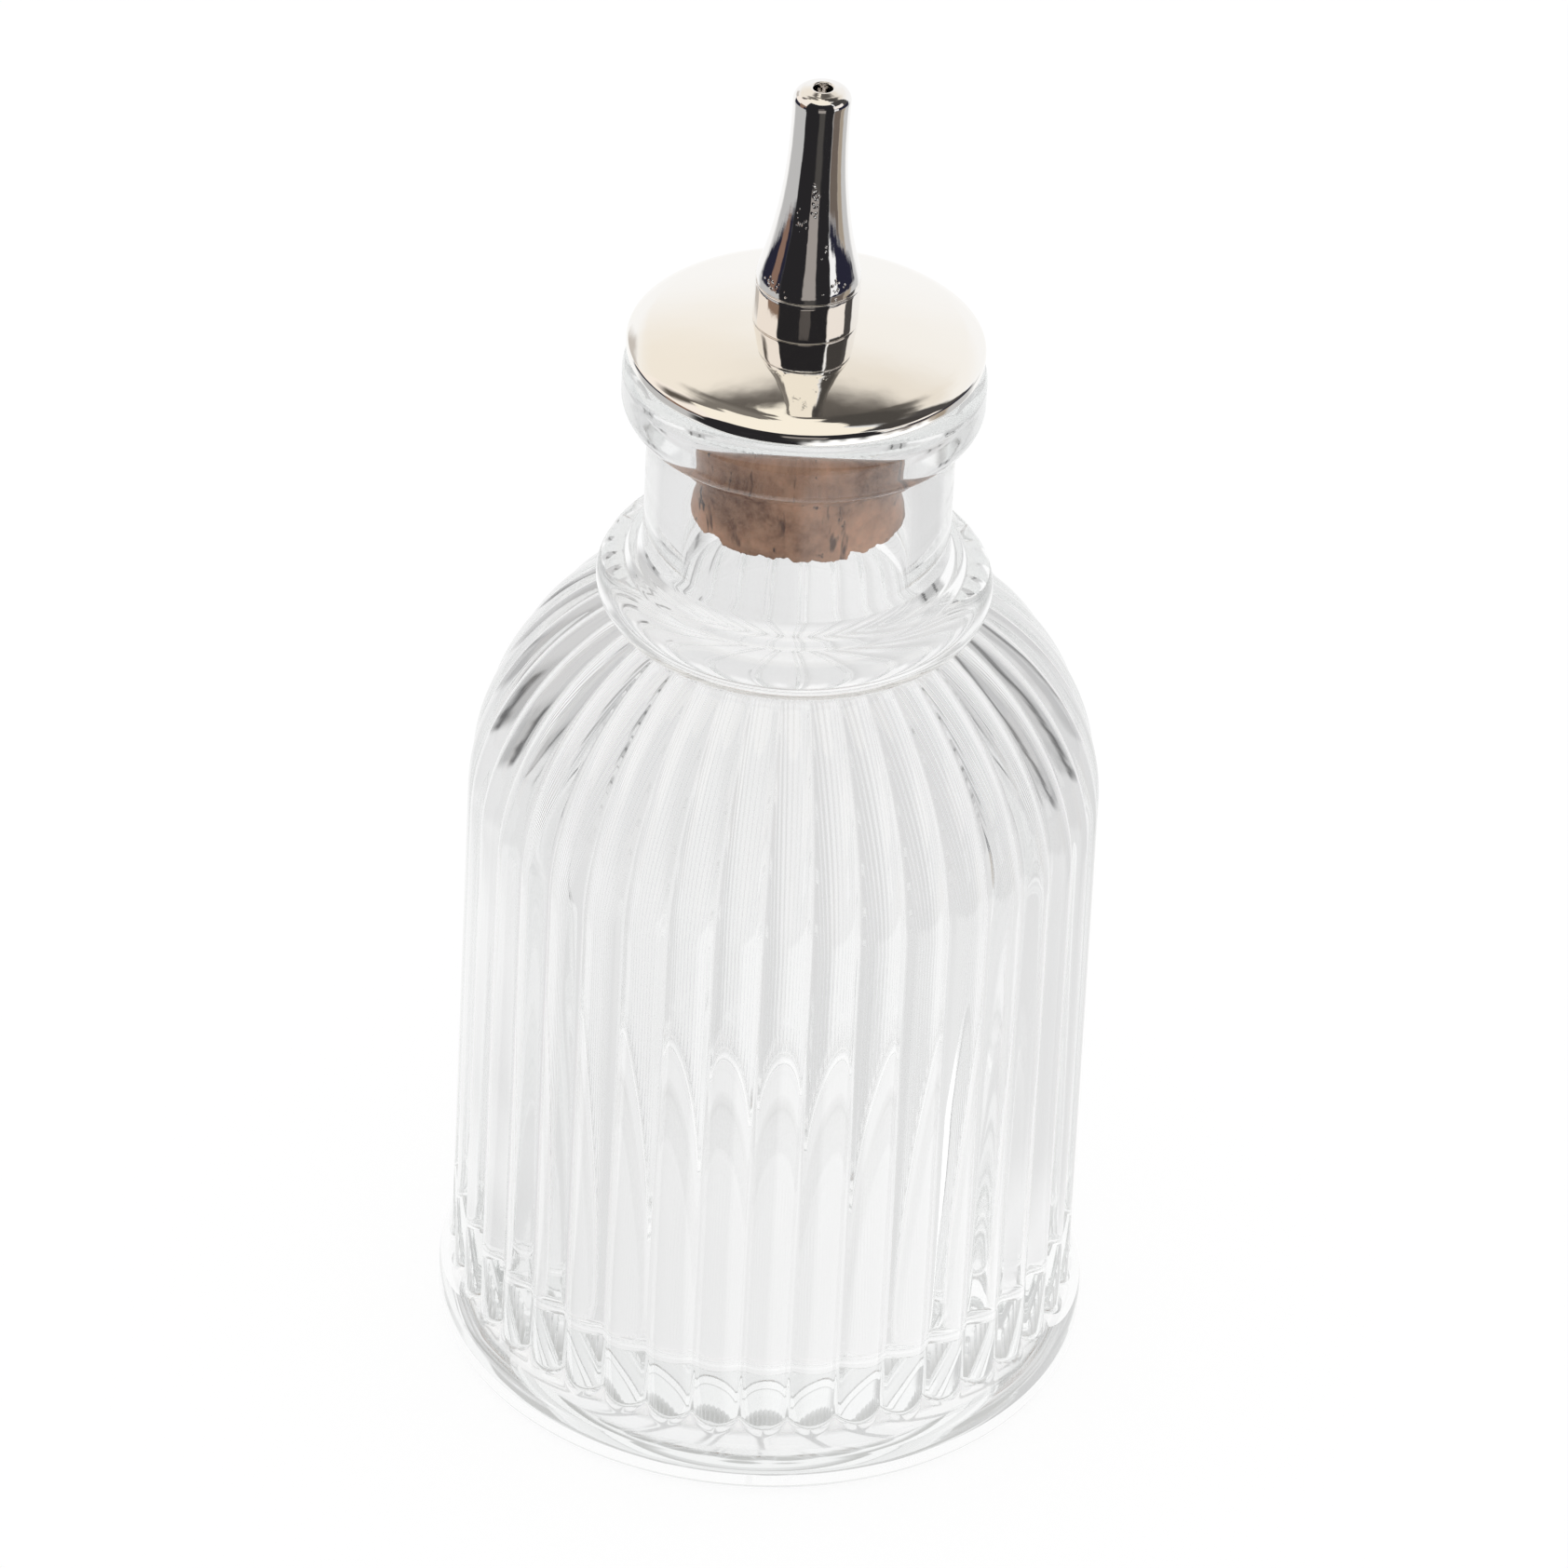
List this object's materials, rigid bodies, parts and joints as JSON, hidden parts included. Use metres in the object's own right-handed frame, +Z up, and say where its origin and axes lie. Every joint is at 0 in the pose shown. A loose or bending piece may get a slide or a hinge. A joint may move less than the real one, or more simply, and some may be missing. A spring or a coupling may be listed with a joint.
{
  "type": "dash bottle",
  "caption": "Ribbed pressed-glass dash bottle with a round foot, collar and lip, closed by a tapered cork that carries a domed metal cap and a hollow pouring nozzle.",
  "frame": {"origin": "centre of the resting ring under the foot, on the surface that the bottle stands on", "axes": "+Z up along the bottle's axis to the nozzle's tip; +X and +Y are across the bottle, and the picture looks roughly along +Y"},
  "size_m": [0.0664, 0.0664, 0.1451],
  "materials": {
    "clear_glass": "clear, fire polished",
    "natural_cork": "natural cork, cut and lightly chipped",
    "bright_metal": "mirror polished plating"
  },
  "bodies": {
    "bottle": {"glass_bottle": "clear_glass"},
    "stopper": {"cork_stopper": "natural_cork", "cap_disc": "bright_metal", "nozzle_band": "bright_metal", "dasher_nozzle": "bright_metal", "stem_tube": "bright_metal"}
  },
  "joints": [
    {"name": "stopper_lift", "type": "slide", "parent": "bottle", "child": "stopper", "axis": [0, 0, 1], "range_m": [0, 0.04]}
  ]
}
